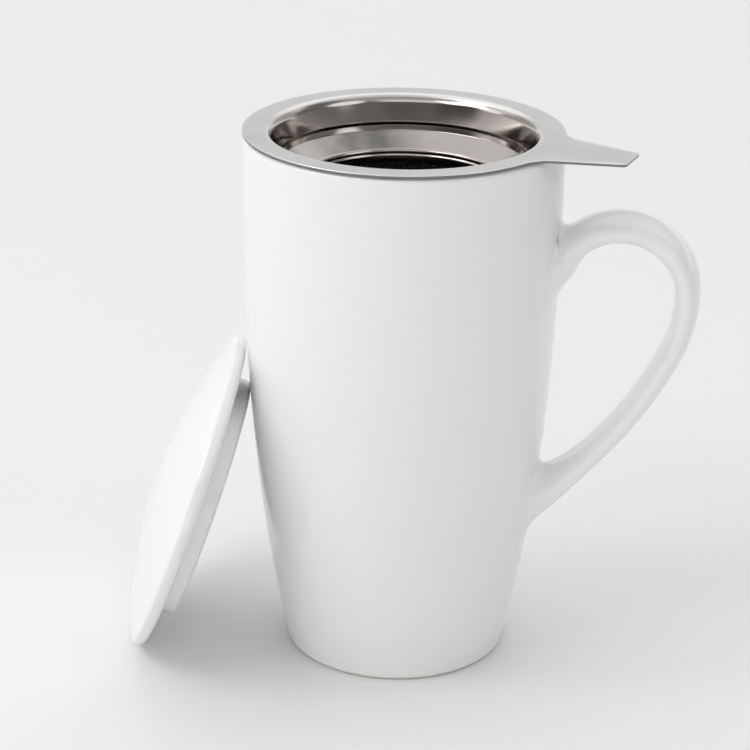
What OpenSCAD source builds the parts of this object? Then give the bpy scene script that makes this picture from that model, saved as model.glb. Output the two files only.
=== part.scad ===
// Tall porcelain tea mug with a lift-out steel infuser and a loose domed lid.
// Millimetres, +Z up. The origin is the centre of the foot ring, on the table.
// The handle lies in the XZ plane, on the +X side.

/* [Mug] */
// Height of the porcelain to the top of its lip
mug_h = 148; // [135:1:160]
// Outer radius at the lip
lip_r = 43; // [41:0.5:46]
// Outer radius of the wall where it would meet the table
foot_r = 30.5; // [28:0.5:33]
// How fast the wall swells out above the foot (1 is a straight cone)
swell = 2.7; // [2:0.1:4]
// Thickness of the wall at the lip, which is a full round
lip_t = 3.4; // [3:0.1:4.2]
// Thickness of the wall near the floor
wall_t = 4.4; // [4:0.1:5.5]
// Thickness of the floor above the hollow of the foot
floor_t = 4.6; // [4:0.2:7]
// Radius between the wall and the floor inside
heel_r = 9; // [5:0.5:14]
// Depth of the hollow inside the foot ring
foot_hollow = 2; // [1:0.25:3]
// Width of the bare ring that the mug stands on
foot_ring_w = 3; // [2:0.25:5]
// Rounding of the outer bottom edge
foot_round = 1.4; // [0.6:0.1:2]

/* [Handle] */
// Height at which the middle of the strap leaves the upper wall
strap_start_z = 114.8; // [110:0.2:120]
// Slope at which the strap leaves the upper wall, in degrees
strap_rise = 56; // [48:1:62]
// Straight length before the first bend
strap_straight = 4.1; // [2:0.1:8]
// Radii of the three bends, from the top down
strap_bend_r = [17.6, 40.8, 118.4]; // [15:0.1:160]
// Angles of the first two bends, in degrees; the third runs on until it meets the wall
strap_bend_turn = [145.3, 24.8]; // [20:0.1:150]
// Thickness of the strap at the top
strap_t = 7.8; // [6:0.1:9]
// How much thinner the strap is at its lower end
strap_thin = 2.2; // [0:0.1:3]
// Width of the strap at the top
strap_w = 18; // [14:0.2:20]
// How much narrower the strap is at its lower end
strap_taper = 1.6; // [0:0.2:3]
// Extra half thickness where the strap meets the upper and the lower wall
strap_flare = [4, 5]; // [0:0.1:8]
// Lengths along the strap over which the two flares die away
strap_flare_len = [5, 7]; // [3:0.5:12]

/* [Lid] */
// Outer radius of the lid
lid_r = 45.6; // [44:0.1:47]
// Radius of the full round along the lid's edge
lid_edge_r = 2; // [1.5:0.25:2.5]
// Height from the flat underside to the top of the dome
lid_dome_h = 11.6; // [8:0.1:14]
// Thickness of the domed shell inside the skirt
lid_shell_t = 4.2; // [3.5:0.1:5]
// Outer radius of the skirt that drops into the infuser
skirt_r = 34.4; // [32:0.1:34.6]
// Depth of the skirt below the underside
skirt_h = 4.9; // [4:0.1:8]
// Thickness of the skirt
skirt_t = 3.6; // [3:0.2:5]
// Rounding of the skirt's outer and inner edge
skirt_round = 1.1; // [0.5:0.1:1.4]
// Lean of the lid from upright, in degrees
lid_lean = 19.3; // [14:0.1:28]
// Direction in which the lid stands, seen from above, in degrees
lid_turn = 189.6; // [120:0.1:240]
// Air between the skirt and the mug wall that it leans against
lean_gap = 0.3; // [0.2:0.05:0.5]

/* [Infuser] */
// Thickness of the pressed steel rim
rim_t = 0.8; // [0.6:0.1:1]
// Air between the porcelain lip and the steel rim
seat_gap = 0.05; // [0.02:0.01:0.1]
// Radius at which the flat rim starts to bend down
bend_start_r = 37.5; // [37.2:0.1:38.4]
// Radii of the bends of the drawn collar, from the rim down
collar_bend_r = [1.6, 0.8, 0.9, 1.5]; // [0.8:0.1:2]
// Angles of the same bends, positive where the sheet turns down
collar_turn = [67.3, 40, -67.3, 50]; // [-80:0.1:90]
// Straight runs after each bend
collar_run = [6.5, 0.5, 7.1, 1.51]; // [0.3:0.01:8]
// Direction of the finger tab, seen from above, in degrees
tab_turn = -13.5; // [-40:0.5:40]
// Distance from the axis to the end of the tab
tab_reach = 63.4; // [56:0.1:72]
// Width of the end of the tab
tab_end_w = 11.2; // [8:0.2:16]
// Slope of each edge of the tab, in degrees
tab_taper = 15; // [0:0.5:20]
// Radius that blends the tab into the round rim
tab_blend_r = 9; // [6:0.5:12]
// Radius of the tab's two corners
tab_corner_r = 1; // [0.6:0.1:1.6]

/* [Basket] */
// Thickness of the perforated sheet
sheet_t = 0.4; // [0.3:0.05:0.5]
// Depth of the basket's underside below the rim
basket_depth = 82; // [60:1:90]
// Length of the sleeve that overlaps the collar
sleeve_lap = 1.8; // [1:0.1:2.2]
// Diameter of a drain hole
hole_d = 1.6; // [1.2:0.1:2]
// Number of drain holes around the sleeve
holes_round = 36; // [24:2:40]
// Distance between rows of drain holes
row_pitch = 4.8; // [4:0.1:8]
// Plain border left at each end of the sleeve
sleeve_border = 5; // [4.5:0.5:9]
// Width of the seam where the rolled sheet laps over itself
seam_w = 3.2; // [2.4:0.2:4]
// Height of the turned-up wall of the bottom cap
cap_h = 3.4; // [2.6:0.2:4]
// Radius of the bend of the bottom cap
cap_bend_r = 1.2; // [0.8:0.1:1.6]
// Distance between drain holes in the bottom cap
cap_pitch = 4.4; // [3.6:0.1:6]

/* [Hidden] */

glaze = "white";
steel = "silver";
mesh_steel = "gray";

round_fn = 120;
wall_steps = 30;
arc_steps = 10;
weld_gap = 0.02;

// ---- Small helpers ----

// Points along an arc in a plane, from angle a to angle b
function arc(centre, r, a, b, steps = arc_steps) = [
    for (i = [0:steps])
        centre + r * [cos(a + (b - a) * i / steps), sin(a + (b - a) * i / steps)]
];

// The last item of a list
function last(list) = list[len(list) - 1];

// A list read from its end to its start
function backwards(list) = [for (i = [len(list) - 1:-1:0]) list[i]];

module spin(points) {
    rotate_extrude($fn = round_fn) polygon(points);
}

// ---- Mug ----

lip_round = lip_t / 2;
floor_z = foot_hollow + floor_t;
heel_z = floor_z + heel_r;

// Outer radius of the wall at a height
function wall_r(z) = lip_r - (lip_r - foot_r) * pow(1 - z / mug_h, swell);

// Inner radius of the wall at a height
function bore_r(z) = wall_r(z) - lip_t - (wall_t - lip_t) * (1 - z / mug_h);

// Outside of the mug, from the table to the widest point of the lip
outer_wall = concat(
    arc([wall_r(foot_round) - foot_round, foot_round], foot_round, -90, 0, 6),
    [for (i = [1:wall_steps])
        let (z = foot_round + (mug_h - lip_round - foot_round) * i / wall_steps)
        [wall_r(z), z]]
);

// Inside of the mug, from the lip down to where the floor's round begins
inner_wall = [
    for (i = [wall_steps:-1:1])
        let (z = heel_z + (mug_h - lip_round - heel_z) * i / wall_steps)
        [bore_r(z), z]
];

ring_out_r = wall_r(foot_round) - foot_round;
ring_in_r = ring_out_r - foot_ring_w;

module mug_body() {
    color(glaze) spin(concat(
        [[0, foot_hollow], [ring_in_r - foot_hollow, foot_hollow], [ring_in_r, 0]],
        outer_wall,
        arc([last(outer_wall)[0] - lip_round, mug_h - lip_round], lip_round, 8, 172, 16),
        inner_wall,
        arc([bore_r(heel_z) - heel_r, heel_z], heel_r, 0, -90),
        [[0, floor_z]]
    ));
}

// The mug's outside as one solid, which the strap is trimmed to
module mug_outside() {
    spin(concat([[0, 0]], outer_wall, [[0, last(outer_wall)[1]]]));
}

// ---- Handle ----

strap_steps = 56;
strap_sides = 24;
strap_oval = 2.3;
strap_bury = 3;
strap_last_turn = 32;
strap_arcs = [for (i = [0:1]) strap_bend_r[i] * strap_bend_turn[i] * PI / 180];
strap_span = strap_bury + strap_straight + strap_arcs[0] + strap_arcs[1]
    + strap_bend_r[2] * strap_last_turn * PI / 180;
strap_step = strap_span / strap_steps;

// Heading of the strap, in degrees, at a distance from the upper wall
function strap_heading(t) =
    let (
        first = t - strap_straight,
        second = first - strap_arcs[0],
        third = second - strap_arcs[1]
    )
    strap_rise - 180 / PI * (
        max(0, min(first, strap_arcs[0])) / strap_bend_r[0]
        + max(0, min(second, strap_arcs[1])) / strap_bend_r[1]
        + max(0, third) / strap_bend_r[2]
    );

// Stations along the middle of the strap, both ends buried: [x, z, heading, distance]
strap_path = [
    for (
        i = 0, t = -strap_bury,
        x = wall_r(strap_start_z) - strap_bury * cos(strap_rise),
        z = strap_start_z - strap_bury * sin(strap_rise);
        i <= strap_steps;
        a = strap_heading(t + strap_step / 2),
        x = x + strap_step * cos(a),
        z = z + strap_step * sin(a),
        t = t + strap_step,
        i = i + 1
    ) [x, z, strap_heading(t), t]
];

// Distance along the strap at which its middle is back at the wall
strap_len = [
    for (s = strap_path) if (s[2] < -90 && s[0] < wall_r(s[1])) s[3] - strap_step / 2
][0];

// How far a station is from the upper wall and from the lower wall
function from_top(t) = max(0, t);
function from_low(t) = max(0, strap_len - t);

function strap_half_t(t) = (strap_t - strap_thin * t / strap_len) / 2
    + strap_flare[0] * exp(-from_top(t) / strap_flare_len[0])
    + strap_flare[1] * exp(-from_low(t) / strap_flare_len[1]);

function strap_half_w(t) = (strap_w - strap_taper * t / strap_len) / 2
    + strap_flare[0] / 4 * exp(-from_top(t) / strap_flare_len[0])
    + strap_flare[1] / 3 * exp(-from_low(t) / strap_flare_len[1]);

// The section stands square to the strap, and turns upright where it meets either wall
function section_turn(a, t) =
    let (top = exp(-pow(from_top(t) / strap_flare_len[0], 2)),
         low = exp(-pow(from_low(t) / strap_flare_len[1], 2)))
    a * (1 - top) * (1 - low) - 180 * low;

// A power of a cosine or sine that keeps its sign, for a plump oval
function plump(v) = sign(v) * pow(abs(v), 2 / strap_oval);

// The oval section of the strap at one station
function strap_ring(station) =
    let (
        a = section_turn(station[2], station[3]),
        half_t = strap_half_t(station[3]),
        half_w = strap_half_w(station[3])
    )
    [for (j = [0:strap_sides - 1])
        let (q = 360 * j / strap_sides, out = half_t * plump(cos(q)))
        [station[0] - out * sin(a), half_w * plump(sin(q)), station[1] + out * cos(a)]];

module strap() {
    rings = [for (station = strap_path) each strap_ring(station)];
    n = strap_sides;
    start_cap = [[for (j = [0:n - 1]) j]];
    end_cap = [[for (j = [n - 1:-1:0]) strap_steps * n + j]];
    side_faces = [
        for (i = [0:strap_steps - 1], j = [0:n - 1])
            let (a = i * n + j, b = i * n + (j + 1) % n)
            each [[a, a + n, b + n], [a, b + n, b]]
    ];
    polyhedron(rings, concat(start_cap, side_faces, end_cap));
}

module mug_handle() {
    color(glaze) difference() {
        strap();
        mug_outside();
    }
}

// ---- Lid ----

edge_x = lid_r - lid_edge_r;
// Depth of the dome's centre below the underside, so that dome and edge run into each other
dome_drop = (pow(edge_x, 2) + pow(lid_edge_r, 2) - pow(lid_dome_h - lid_edge_r, 2))
    / (2 * (lid_dome_h - 2 * lid_edge_r));
dome_r = lid_dome_h + dome_drop;
dome_edge_angle = atan2(lid_edge_r + dome_drop, edge_x);
hollow_r = dome_r - lid_shell_t;
skirt_in_r = skirt_r - skirt_t;
hollow_edge_angle = acos(skirt_in_r / hollow_r);

// Where the lid stands: the centre of its edge round, its highest skirt corner, and the wall there
corner_along = edge_x + skirt_r - skirt_round;
corner_below = skirt_h - skirt_round + lid_edge_r;
corner_z = lid_edge_r + corner_along * cos(lid_lean) - corner_below * sin(lid_lean);
lid_stand_x = wall_r(corner_z) + lean_gap + skirt_round
    + corner_along * sin(lid_lean) + corner_below * cos(lid_lean);

// The lid lying flat, with its underside at z = 0
module lid_flat() {
    spin(concat(
        arc([0, -dome_drop], hollow_r, 90, hollow_edge_angle),
        arc([skirt_in_r + skirt_round, skirt_round - skirt_h], skirt_round, 180, 270, 5),
        arc([skirt_r - skirt_round, skirt_round - skirt_h], skirt_round, 270, 360, 5),
        arc([skirt_r + skirt_round, -skirt_round], skirt_round, 180, 90, 5),
        arc([edge_x, lid_edge_r], lid_edge_r, -90, dome_edge_angle, 14),
        arc([0, -dome_drop], dome_r, dome_edge_angle, 90, 18)
    ));
}

// The lid on its edge, leaning on the mug wall
module lid() {
    color(glaze)
    rotate([0, 0, lid_turn])
    translate([lid_stand_x, 0, lid_edge_r])
    rotate([0, 90 - lid_lean, 0])
    translate([-edge_x, 0, -lid_edge_r])
    lid_flat();
}

// ---- Infuser rim, tab and collar ----

rim_z = mug_h + seat_gap;

// Half thickness of the drawn sheet at station i of n: it thins as it is drawn down
function draw_half_t(i, n) = (rim_t + (sheet_t + 0.1 - rim_t) * min(1, 4 * i / n)) / 2;

// Middle of the drawn sheet: [radius, z, heading], bend by bend
function collar_path(i = 0, from = [bend_start_r, rim_t / 2, 180]) =
    i == len(collar_turn) ? [from] :
    let (
        side = sign(collar_turn[i]),
        r = collar_bend_r[i],
        centre = [from[0], from[1]] + side * r * [-sin(from[2]), cos(from[2])],
        bend = [for (k = [0:arc_steps - 1])
            let (a = from[2] + collar_turn[i] * k / arc_steps)
            concat(centre + side * r * [sin(a), -cos(a)], [a])],
        a = from[2] + collar_turn[i],
        bend_end = centre + side * r * [sin(a), -cos(a)],
        run_end = bend_end + collar_run[i] * [cos(a), sin(a)]
    )
    concat(bend, [concat(bend_end, [a])], collar_path(i + 1, concat(run_end, [a])));

collar = collar_path();
neck_r = last(collar)[0];
neck_z = last(collar)[1];

// One face of the drawn sheet: side 1 is the outside, side -1 the inside
function collar_face(side) = [
    for (i = [0:len(collar) - 1])
        let (s = collar[i], h = side * draw_half_t(i, len(collar)))
        [s[0] - h * sin(s[2]), s[1] + h * cos(s[2])]
];

// The tab's straight edge is the line where [sin, cos] of its slope times a point is this
tab_line = tab_reach * sin(tab_taper) + tab_end_w / 2 * cos(tab_taper);
tab_normal = [sin(tab_taper), cos(tab_taper)];
tab_along = [cos(tab_taper), -sin(tab_taper)];
blend_s = sqrt(pow(lip_r + tab_blend_r, 2) - pow(tab_line + tab_blend_r, 2));
blend_centre = tab_normal * (tab_line + tab_blend_r) + tab_along * blend_s;
corner_x = tab_reach - tab_corner_r;
corner_centre = [corner_x, (tab_line - tab_corner_r - corner_x * sin(tab_taper)) / cos(tab_taper)];

// One half of the tab, above the X axis
module half_tab() {
    inner_x = lip_r - 4;
    edge_point = tab_normal * tab_line + tab_along * blend_s;
    polygon([
        [inner_x, 0], edge_point, corner_centre + tab_corner_r * tab_normal,
        corner_centre, [tab_reach, corner_centre[1]], [tab_reach, 0]
    ]);
    translate(corner_centre) circle(r = tab_corner_r, $fn = 32);
    difference() {
        polygon([
            [inner_x, 0], blend_centre * (lip_r - 2) / norm(blend_centre),
            blend_centre, edge_point
        ]);
        translate(blend_centre) circle(r = tab_blend_r, $fn = round_fn);
    }
}

module rim_outline() {
    difference() {
        union() {
            circle(r = lip_r, $fn = round_fn);
            rotate(tab_turn) {
                half_tab();
                mirror([0, 1]) half_tab();
            }
        }
        circle(r = bend_start_r, $fn = round_fn);
    }
}

module infuser_rim() {
    color(steel) translate([0, 0, rim_z]) {
        linear_extrude(rim_t) rim_outline();
        spin(concat(collar_face(1), backwards(collar_face(-1))));
    }
}

// ---- Basket ----

neck_out_r = neck_r + (sheet_t + 0.1) / 2;
sleeve_in_r = neck_out_r + weld_gap;
sleeve_out_r = sleeve_in_r + sheet_t;
sleeve_top = rim_z + neck_z + sleeve_lap;
base_z = rim_z + rim_t - basket_depth;
sleeve_low = base_z + cap_bend_r;
cap_in_r = sleeve_out_r + weld_gap;
cap_out_r = cap_in_r + sheet_t;

row_count = floor((sleeve_top - sleeve_low - 2 * sleeve_border) / row_pitch);
row_start = (sleeve_top + sleeve_low - (row_count * row_pitch)) / 2;

// Straight cutters that point out from the axis, staggered from row to row
module sleeve_holes() {
    step = 360 / holes_round;
    for (row = [0:row_count], i = [0:holes_round - 1])
        let (a = (i + (row % 2) / 2) * step)
        rotate([0, 0, a])
        translate([sleeve_in_r - 1, 0, row_start + row * row_pitch])
        rotate([0, 90, 0])
        cylinder(d = hole_d, h = 3, $fn = 16);
}

// The sheet's free end, which laps over the sleeve on the inside
module sleeve_seam() {
    half_angle = asin(seam_w / 2 / sleeve_in_r);
    turn_back = 180 / holes_round * 0.5;
    rotate([0, 0, turn_back - half_angle])
    rotate_extrude(angle = 2 * half_angle, $fn = round_fn)
    translate([sleeve_in_r - sheet_t, sleeve_low])
    square([sheet_t + 0.1, rim_z + neck_z - sleeve_low - 0.5]);
}

module infuser_sleeve() {
    color(mesh_steel) {
        difference() {
            translate([0, 0, sleeve_low])
                cylinder(r = sleeve_out_r, h = sleeve_top - sleeve_low, $fn = round_fn);
            translate([0, 0, sleeve_low - 1])
                cylinder(r = sleeve_in_r, h = sleeve_top - sleeve_low + 2, $fn = round_fn);
            sleeve_holes();
        }
        sleeve_seam();
    }
}

// Round holes on a staggered grid, kept inside a circle
module cap_holes(keep_r) {
    rows = floor(keep_r / cap_pitch / 0.866) + 1;
    for (row = [-rows:rows], i = [-rows - 1:rows + 1]) {
        x = (i + (abs(row) % 2) / 2) * cap_pitch;
        y = row * cap_pitch * 0.866;
        if (norm([x, y]) < keep_r) translate([x, y]) circle(d = hole_d, $fn = 16);
    }
}

module infuser_base() {
    flat_r = cap_out_r - cap_bend_r;
    color(mesh_steel) translate([0, 0, base_z]) {
        linear_extrude(sheet_t) difference() {
            circle(r = flat_r, $fn = round_fn);
            cap_holes(flat_r - hole_d);
        }
        spin(concat(
            arc([flat_r, cap_bend_r], cap_bend_r, -90, 0),
            [[cap_out_r, cap_h], [cap_in_r, cap_h]],
            arc([flat_r, cap_bend_r], cap_bend_r - sheet_t, 0, -90)
        ));
    }
}

mug_body();
mug_handle();
lid();
infuser_rim();
infuser_sleeve();
infuser_base();
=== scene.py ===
# %% [markdown]
# # A tall tea mug with a lift-out infuser and a loose lid
# This notebook dresses a finished construction model of a porcelain tea mug. The
# construction model gives every piece its place, its size and the body it moves with.
# Here each piece is modelled again as the maker would see it: the spun walls of the
# mug, the pulled strap of the handle, the cast lid, the drawn steel rim and the fine
# perforated sheet of the basket. Lengths are written in millimetres and turned into
# metres when a piece is finished.

# %% Load the construction model
import math

import bmesh
import bpy
from mathutils import Matrix, Vector


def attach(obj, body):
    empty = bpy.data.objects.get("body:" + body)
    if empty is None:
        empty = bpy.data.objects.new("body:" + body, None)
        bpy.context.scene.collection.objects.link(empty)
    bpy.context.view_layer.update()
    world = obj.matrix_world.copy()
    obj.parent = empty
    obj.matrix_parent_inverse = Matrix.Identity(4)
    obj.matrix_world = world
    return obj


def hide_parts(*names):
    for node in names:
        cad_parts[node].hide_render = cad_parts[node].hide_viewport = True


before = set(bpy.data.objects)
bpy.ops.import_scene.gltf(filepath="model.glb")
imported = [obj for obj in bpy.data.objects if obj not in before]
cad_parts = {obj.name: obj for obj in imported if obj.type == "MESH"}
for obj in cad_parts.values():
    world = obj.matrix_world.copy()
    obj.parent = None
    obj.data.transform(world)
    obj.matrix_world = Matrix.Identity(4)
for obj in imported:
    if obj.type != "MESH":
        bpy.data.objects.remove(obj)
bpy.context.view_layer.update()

MM = 0.001

# %% [markdown]
# ## Making a piece
# Every piece goes through the same last steps, so they are one helper. A bmesh holds
# the shape in millimetres. Doubles are merged first, because a spin leaves copies on
# its axis and along its seam. Then the faces are turned outwards, the mesh is scaled to
# metres and shaded smooth, with a crease only where the angle is large. A crease of
# nought keeps the faces flat, which suits a sheet full of small holes. The piece rides
# on a body of the construction model and replaces its plain nodes.


# %% Helpers that start and finish a piece
DOUBLES = 0.0005  # millimetres; points closer than this are one point


def chain(bm, points):
    """A chain of edges through (x, z) points in the XZ plane."""
    verts = [bm.verts.new((x, 0.0, z)) for x, z in points]
    return verts + [bm.edges.new(pair) for pair in zip(verts, verts[1:])]


def spin(bm, geom, steps, angle=math.tau, copies=False):
    """Spins geometry about the Z axis and returns where it ends up."""
    return bmesh.ops.spin(
        bm, geom=geom, cent=(0, 0, 0), axis=(0, 0, 1), angle=angle, steps=steps,
        use_merge=angle == math.tau, use_duplicate=copies,
    )["geom_last"]


def turned(bm, points, steps):
    """A turned solid: the chain of points spun all the way round."""
    spin(bm, chain(bm, points), steps)


def turn_by(bm, angle, verts):
    """Turns points about the Z axis, by an angle in radians."""
    bmesh.ops.rotate(bm, cent=(0, 0, 0), matrix=Matrix.Rotation(angle, 3, "Z"),
                     verts=verts)


def finish_piece(bm, name, body, material, nodes=(), crease=40, closed=True):
    """Merges, turns outwards, scales to metres, shades, and hands the piece over."""
    bmesh.ops.remove_doubles(bm, verts=bm.verts, dist=DOUBLES)
    if closed:
        bmesh.ops.recalc_face_normals(bm, faces=bm.faces)
    bmesh.ops.scale(bm, vec=(MM, MM, MM), verts=bm.verts)
    mesh = bpy.data.meshes.new(name)
    bm.to_mesh(mesh)
    bm.free()
    if crease:
        mesh.shade_smooth()
        mesh.set_sharp_from_angle(angle=math.radians(crease))
    mesh.materials.append(material)
    piece = bpy.data.objects.new(name, mesh)
    bpy.context.scene.collection.objects.link(piece)
    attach(piece, body)
    if nodes:
        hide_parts(*nodes)
    print(name, "faces", len(mesh.polygons), "size mm",
          [round(v / MM, 1) for v in piece.dimensions])
    return piece


def arc(centre, r, start, end, steps):
    """Points along an arc in a plane, from one angle in degrees to another."""
    turn = [math.radians(start + (end - start) * i / steps) for i in range(steps + 1)]
    return [(centre[0] + r * math.cos(a), centre[1] + r * math.sin(a)) for a in turn]


print("points closer than mm", DOUBLES, "are merged")

# %% [markdown]
# ## Materials from nodes
# Small helpers keep the node trees readable: they add a node and set its inputs, do a
# step of arithmetic, or measure where a point of the surface is. Another makes a named
# group with its own sockets. An effect that more than one finish uses is such a group,
# built once and placed in each material.


# %% Short calls for the nodes
class Tree:
    """A node tree with short calls for the nodes that the finishes use."""

    def __init__(self, nodes_of):
        self.tree = nodes_of
        self.nodes, self.links = nodes_of.nodes, nodes_of.links

    def add(self, kind, inputs=None, **settings):
        node = self.nodes.new(kind)
        for key, value in settings.items():
            setattr(node, key, value)
        for key, value in (inputs or {}).items():
            self.put(value, node.inputs[key])
        return node

    def put(self, value, socket):
        if isinstance(value, bpy.types.NodeSocket):
            self.links.new(value, socket)
        else:
            socket.default_value = value

    def sum(self, operation, a, b=0.0):
        """One step of arithmetic on numbers."""
        return self.add("ShaderNodeMath", {0: a, 1: b}, operation=operation).outputs[0]

    def vector(self, operation, a, b=None):
        """One step of arithmetic on vectors."""
        node = self.add("ShaderNodeVectorMath", {0: a}, operation=operation)
        if b is not None:
            self.put(b, node.inputs[1])
        number = operation in ("DOT_PRODUCT", "LENGTH")
        return node.outputs["Value" if number else "Vector"]

    def height(self, where):
        return self.add("ShaderNodeSeparateXYZ", {0: where}).outputs["Z"]

    def from_axis(self, where):
        """The distance from the Z axis."""
        return self.vector("LENGTH", self.vector("MULTIPLY", where, (1.0, 1.0, 0.0)))

    def noise(self, where, scale, detail=3.0, rough=0.5):
        return self.add("ShaderNodeTexNoise", {
            "Vector": where, "Scale": scale, "Detail": detail, "Roughness": rough,
        }).outputs["Fac"]

    def ramp(self, value, low, high, to_low=0.0, to_high=1.0):
        """Takes a number from one range to another, with soft ends."""
        return self.add("ShaderNodeMapRange", {
            "Value": value, "From Min": low, "From Max": high,
            "To Min": to_low, "To Max": to_high,
        }, interpolation_type="SMOOTHSTEP").outputs["Result"]

    def spread(self, noise, low, high):
        """Stretches a noise, which keeps near its middle, over a range."""
        return self.ramp(noise, 0.3, 0.7, low, high)

    def between(self, data_type, kind, mask, a, b):
        """A Mix node, whose sockets are told apart by their identifiers."""
        node = self.add("ShaderNodeMix", data_type=data_type)
        values = {"Factor_Float": mask, "A_" + kind: a, "B_" + kind: b}
        for socket in node.inputs:
            if socket.identifier in values:
                self.put(values[socket.identifier], socket)
        return next(s for s in node.outputs if s.identifier == "Result_" + kind)

    def mix(self, mask, a, b):
        """A blend of two colours by a mask."""
        return self.between("RGBA", "Color", mask, a, b)

    def blend(self, mask, a, b):
        """A blend of two numbers by a mask."""
        return self.between("FLOAT", "Float", mask, a, b)

    def place(self, name, inputs):
        """Puts a finished effect group into this tree."""
        node = self.add("ShaderNodeGroup", node_tree=bpy.data.node_groups[name])
        for key, value in inputs.items():
            self.put(value, node.inputs[key])
        return node.outputs


print("calls of a tree", [call for call in vars(Tree) if not call.startswith("_")])


# %% Helpers that start a group or a material
def effect(name, inputs, outputs):
    """A new group with named sockets: its tree, what comes in, and what goes out."""
    group = bpy.data.node_groups.new(name, "ShaderNodeTree")
    for label, kind, value in inputs:
        socket = group.interface.new_socket(label, in_out="INPUT", socket_type=kind)
        if value is not None:
            socket.default_value = value
    for label, kind in outputs:
        group.interface.new_socket(label, in_out="OUTPUT", socket_type=kind)
    tree = Tree(group)
    return tree, tree.add("NodeGroupInput").outputs, tree.add("NodeGroupOutput").inputs


def material(name, **constants):
    """A new material with a Principled shader, whose constants are set on it."""
    made = bpy.data.materials.new(name)
    made.use_nodes = True
    tree = Tree(made.node_tree)
    shader = tree.nodes["Principled BSDF"]
    for key, value in constants.items():
        shader.inputs[key.replace("_", " ")].default_value = value
    where = tree.add("ShaderNodeTexCoord").outputs["Object"]
    return made, tree, shader.inputs, where


def bump(tree, shader, relief, distance):
    """Feeds a relief to the shader, distance being its height in metres."""
    tree.put(tree.add("ShaderNodeBump", {
        "Height": relief, "Distance": distance, "Strength": 1.0,
    }).outputs["Normal"], shader["Normal"])


FLOAT, COLOUR, VECTOR = "NodeSocketFloat", "NodeSocketColor", "NodeSocketVector"
print("kinds of socket", FLOAT, COLOUR, VECTOR)

# %% [markdown]
# ## Glaze and bare clay
# Porcelain is white clay under a thin clear glaze. The glaze is never quite flat: it
# settles in slow waves a few millimetres long, and its gloss varies a little. It is
# wiped off wherever the piece stands in the kiln, which leaves a matt ring of bare clay
# with a slightly wavering edge. A painted mask could say where that is, but a height
# says it without an image and as sharp as one likes. Glaze and clay are one group,
# because the mug, the handle and the lid share them. It takes a height above the
# standing ring, so that each piece can say in its own direction where the clay ends.

# %% The glaze group
GLAZE_TONES = (0.860, 0.857, 0.850, 1), (0.875, 0.872, 0.865, 1)
CLAY_TONES = (0.70, 0.68, 0.64, 1), (0.80, 0.785, 0.75, 1)
GLAZE_ROUGH, CLAY_ROUGH = (0.085, 0.125), 0.82
WAVES, RIPPLES, WAVER, CLAY_GRAIN = 34.0, 75.0, 260.0, 3200.0  # noise scales
WAVER_BY, EDGE_SOFT = 0.00018, 0.00008  # metres, where the glaze ends
GLAZE_STEP = 1.2  # how thick the glaze stands on the clay

glaze, given, out = effect(
    "Porcelain glaze",
    [("Where", VECTOR, None), ("Height", FLOAT, 1.0), ("Bare Below", FLOAT, 0.0)],
    [("Colour", COLOUR), ("Roughness", FLOAT), ("Relief", FLOAT)],
)
slow = glaze.noise(given["Where"], WAVES, 2.0)
waver = glaze.noise(given["Where"], WAVER, 2.0)
grain = glaze.noise(given["Where"], CLAY_GRAIN, 3.0, 0.7)
wavering = glaze.sum("ADD", given["Height"], glaze.spread(waver, -WAVER_BY, WAVER_BY))
above_edge = glaze.sum("SUBTRACT", wavering, given["Bare Below"])
glazed = glaze.ramp(above_edge, -EDGE_SOFT, EDGE_SOFT)
white, clay = glaze.mix(slow, *GLAZE_TONES), glaze.mix(grain, *CLAY_TONES)
glaze.put(glaze.mix(glazed, clay, white), out["Colour"])
gloss = glaze.spread(slow, *GLAZE_ROUGH)
glaze.put(glaze.blend(glazed, CLAY_ROUGH, gloss), out["Roughness"])
ripples = glaze.noise(given["Where"], RIPPLES, 1.0)
step = glaze.sum("MULTIPLY", glazed, GLAZE_STEP)
relief = glaze.sum("ADD", step, glaze.blend(glazed, grain, 0.5))
glaze.put(glaze.sum("ADD", ripples, relief), out["Relief"])
print("glaze group nodes", len(glaze.nodes))


# %% A glazed material for each way that a piece stands in the kiln
GLAZE_IOR, GLAZE_DEEP = 1.52, 0.00004


def glazed_material(name, up=(0, 0, 1), ring_at=0.0, bare=0.0):
    """Glaze that starts bare metres above the ring, which stands ring_at along up."""
    made, tree, shader, where = material(name, IOR=GLAZE_IOR)
    height = tree.sum("SUBTRACT", tree.vector("DOT_PRODUCT", where, up), ring_at)
    surface = tree.place("Porcelain glaze", {
        "Where": where, "Height": height, "Bare Below": bare})
    tree.put(surface["Colour"], shader["Base Color"])
    tree.put(surface["Roughness"], shader["Roughness"])
    bump(tree, shader, surface["Relief"], GLAZE_DEEP)
    print(name, "nodes", len(tree.nodes))
    return made


mug_glaze = glazed_material("mug glaze", bare=0.0009)
handle_glaze = glazed_material("handle glaze", bare=-1.0)  # glazed all over

# %% [markdown]
# ## Steel
# The infuser is stainless steel. Its flange and tab are satin, from a fine blasting
# that scatters light evenly. The collar below is polished by the drawing die, which
# also leaves faint rings round it. Two materials on the faces would meet in a hard
# line. Both finishes come from the same sheet, so one group makes them from a mask:
# satin at 1 and polished at 0. The rings need only the distance from the axis and the
# height, and not an angle, so they close on themselves. Tea dries on the ledge inside
# the rim, so the ledge is duller, most of all in one blotch.

# %% The steel group
POLISHED_TONE = (0.47, 0.43, 0.405, 1)
SATIN_TONES = (0.72, 0.715, 0.705, 1), (0.76, 0.755, 0.745, 1)
POLISHED_ROUGH, SATIN_ROUGH = (0.09, 0.15), (0.27, 0.34)
SMEARS, DIE_RINGS, BLASTING = 55.0, 2600.0, 5200.0  # noise scales

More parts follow.
